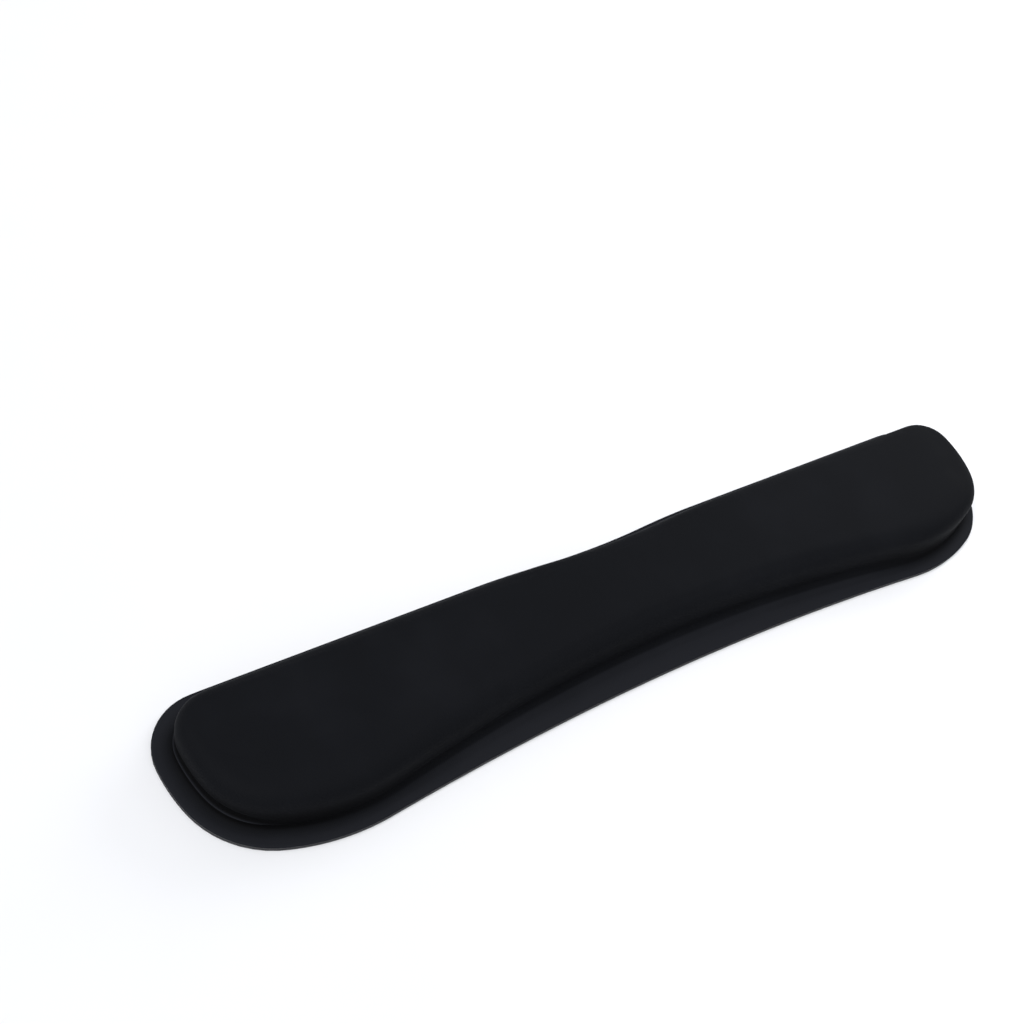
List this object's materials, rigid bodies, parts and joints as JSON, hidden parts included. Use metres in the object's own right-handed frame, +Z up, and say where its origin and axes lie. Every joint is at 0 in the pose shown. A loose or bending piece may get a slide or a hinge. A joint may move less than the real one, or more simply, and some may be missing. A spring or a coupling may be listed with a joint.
{
  "type": "wrist rest",
  "caption": "Long kidney-shaped wrist rest for a keyboard: a low fabric-covered memory-foam cushion with a flat flange all round on a thin non-slip base.",
  "frame": {"origin": "bottom centre of the bounding box, on the desk under the middle of the rest", "axes": "+X along the rest, to the user's right; +Y away from the user, to the keyboard; +Z up"},
  "size_m": [0.456, 0.0834, 0.025],
  "materials": {
    "cover_fabric": "black stretch knit, matt",
    "barrier_film": "thin thermoplastic film",
    "foam": "slow-rebound open-cell foam",
    "adhesive": "set hot-melt adhesive",
    "backing_cloth": "thin woven backing",
    "base_rubber": "matt, moulded grip pattern"
  },
  "bodies": {
    "root": {"cover_fabric": "cover_fabric", "barrier_film": "barrier_film", "foam_core": "foam", "edge_bond": "adhesive", "foam_bond": "adhesive", "backing_cloth": "backing_cloth", "rubber_base": "base_rubber"}
  },
  "joints": []
}
